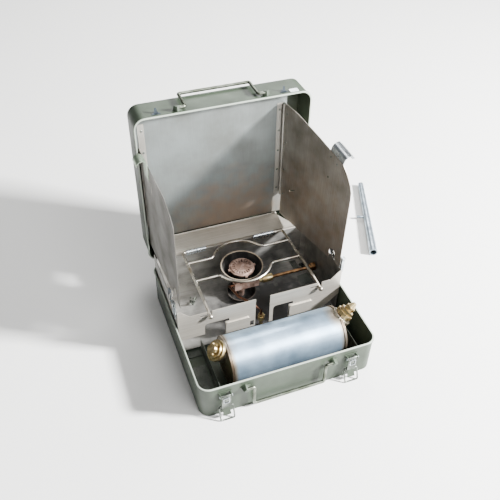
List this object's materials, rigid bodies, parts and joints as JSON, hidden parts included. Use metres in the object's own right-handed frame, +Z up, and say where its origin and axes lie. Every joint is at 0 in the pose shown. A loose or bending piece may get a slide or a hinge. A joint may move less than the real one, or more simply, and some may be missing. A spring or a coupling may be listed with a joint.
{
  "type": "folding pressure stove",
  "caption": "Folding kerosene pressure stove in a hinged sheet-metal case, with burner tray, wire pot support, hinged windshield and lift-out fuel tank.",
  "frame": {"origin": "centre of the underside of the case's base, on the ground", "axes": "+X to the right seen from the front, where the tank is; +Y back towards the open lid; +Z up"},
  "size_m": [0.5992, 0.5287, 0.4073],
  "materials": {
    "case_paint": "satin, worn at the rims",
    "stainless": "brushed, heat-tinted",
    "plated_steel": "bright plated",
    "wire_steel": "satin, dulled",
    "clip_steel": "satin, pale green tint",
    "tank_steel": "bright, brushed",
    "plate_steel": "matt grey",
    "neck_steel": "dull",
    "soot_steel": "matt, sooted",
    "burner_bronze": "dull, heat-stained",
    "brass": "dull",
    "copper": "dull copper",
    "gasket_rubber": "matt",
    "zinc": "dull zinc",
    "label_white": "matt white"
  },
  "bodies": {
    "base": {"case_base": "case_paint", "hinge_leaves_base": "case_paint", "hinge_pins": "plated_steel", "stove_tray": "stainless", "front_panel": "stainless", "apron": "stainless", "support_barrels": "stainless", "burner_bowl": "soot_steel", "burner_body": "burner_bronze", "burner_cap": "burner_bronze", "priming_cup": "soot_steel", "fuel_pipe": "copper", "pipe_union": "brass", "tank_bearers": "plate_steel", "tank_saddles": "plate_steel", "floor_plates": "plate_steel", "tray_screws": "plated_steel", "tray_hatch": "plate_steel", "base_handle_brackets": "case_paint", "latch_plates": "case_paint", "latch_pins": "plated_steel", "wing_catches": "plated_steel", "spindle_gland": "brass", "tube_spanner": "zinc", "spanner_peg": "zinc"},
    "lid": {"case_lid": "case_paint", "hinge_leaves_lid": "case_paint", "back_panel": "stainless", "left_hinge_leaf": "stainless", "right_hinge_leaf": "stainless", "wing_hinge_pins": "plated_steel", "lid_handle_brackets": "case_paint", "lid_strikers": "plated_steel", "label_plate": "label_white"},
    "left_wing_body": {"left_wing": "stainless", "left_wing_leaf": "stainless", "left_clip": "clip_steel"},
    "right_wing_body": {"right_wing": "stainless", "right_wing_leaf": "stainless", "right_clip": "plated_steel"},
    "pot_support": {"pot_frame": "wire_steel", "pot_crossbars": "wire_steel"},
    "base_handle_body": {"base_handle": "wire_steel"},
    "lid_handle_body": {"lid_handle": "wire_steel"},
    "lever_left_body": {"lever_left": "plated_steel"},
    "lever_right_body": {"lever_right": "plated_steel"},
    "loop_left_body": {"loop_left": "plated_steel"},
    "loop_right_body": {"loop_right": "plated_steel"},
    "tank": {"tank_shell": "tank_steel", "tank_ends": "tank_steel", "filler_neck": "neck_steel", "filler_gasket": "gasket_rubber", "valve_socket": "brass", "valve_tail": "brass"},
    "filler_cap_body": {"filler_cap": "brass"},
    "valve_nut_body": {"valve_nut": "brass"},
    "spindle": {"regulator_spindle": "brass"}
  },
  "joints": [
    {"name": "lid_hinge", "type": "hinge", "parent": "base", "child": "lid", "pos_m": [0, 0.169, 0.0656], "axis": [-1, 0, 0], "range_deg": [0, 70]},
    {"name": "left_wing_hinge", "type": "hinge", "parent": "lid", "child": "left_wing_body", "pos_m": [-0.16335, 0.2008, 0.26919], "axis": [0, 0.0279, 0.9996], "range_deg": [0, 87]},
    {"name": "right_wing_hinge", "type": "hinge", "parent": "lid", "child": "right_wing_body", "pos_m": [0.118, 0.1973, 0.26929], "axis": [0, -0.0279, -0.9996], "range_deg": [0, 102]},
    {"name": "pot_support_hinge", "type": "hinge", "parent": "base", "child": "pot_support", "pos_m": [0, 0.148, 0.105], "axis": [-1, 0, 0], "range_deg": [0, 80]},
    {"name": "tank_lift", "type": "slide", "parent": "base", "child": "tank", "axis": [0, 0, 1], "range_m": [0, 0.12]},
    {"name": "filler_cap_turn", "type": "hinge", "parent": "tank", "child": "filler_cap_body", "pos_m": [-0.099, -0.091, 0.067], "axis": [-0.7071, 0, 0.7071], "continuous": true},
    {"name": "valve_nut_turn", "type": "hinge", "parent": "tank", "child": "valve_nut_body", "pos_m": [0.1214, -0.091, 0.0742], "axis": [0.7071, 0, 0.7071], "continuous": true},
    {"name": "spindle_turn", "type": "hinge", "parent": "base", "child": "spindle", "pos_m": [0.1, 0.088, 0.038], "axis": [1, 0, 0], "continuous": true},
    {"name": "base_handle_swing", "type": "hinge", "parent": "base", "child": "base_handle_body", "pos_m": [-0.004, -0.16925, 0.059], "axis": [-1, 0, 0], "range_deg": [0, 110]},
    {"name": "lid_handle_swing", "type": "hinge", "parent": "lid", "child": "lid_handle_body", "pos_m": [-0.004, 0.19914, 0.40314], "axis": [1, 0, 0], "range_deg": [0, 120]},
    {"name": "lever_left_swing", "type": "hinge", "parent": "base", "child": "lever_left_body", "pos_m": [-0.125, -0.16875, 0.057], "axis": [-1, 0, 0], "range_deg": [0, 150]},
    {"name": "lever_right_swing", "type": "hinge", "parent": "base", "child": "lever_right_body", "pos_m": [0.117, -0.16875, 0.057], "axis": [-1, 0, 0], "range_deg": [0, 150]},
    {"name": "loop_left_swing", "type": "hinge", "parent": "lever_left_body", "child": "loop_left_body", "pos_m": [-0.125, -0.16875, 0.027], "axis": [-1, 0, 0], "range_deg": [0, 90]},
    {"name": "loop_right_swing", "type": "hinge", "parent": "lever_right_body", "child": "loop_right_body", "pos_m": [0.117, -0.16875, 0.027], "axis": [-1, 0, 0], "range_deg": [0, 90]}
  ]
}
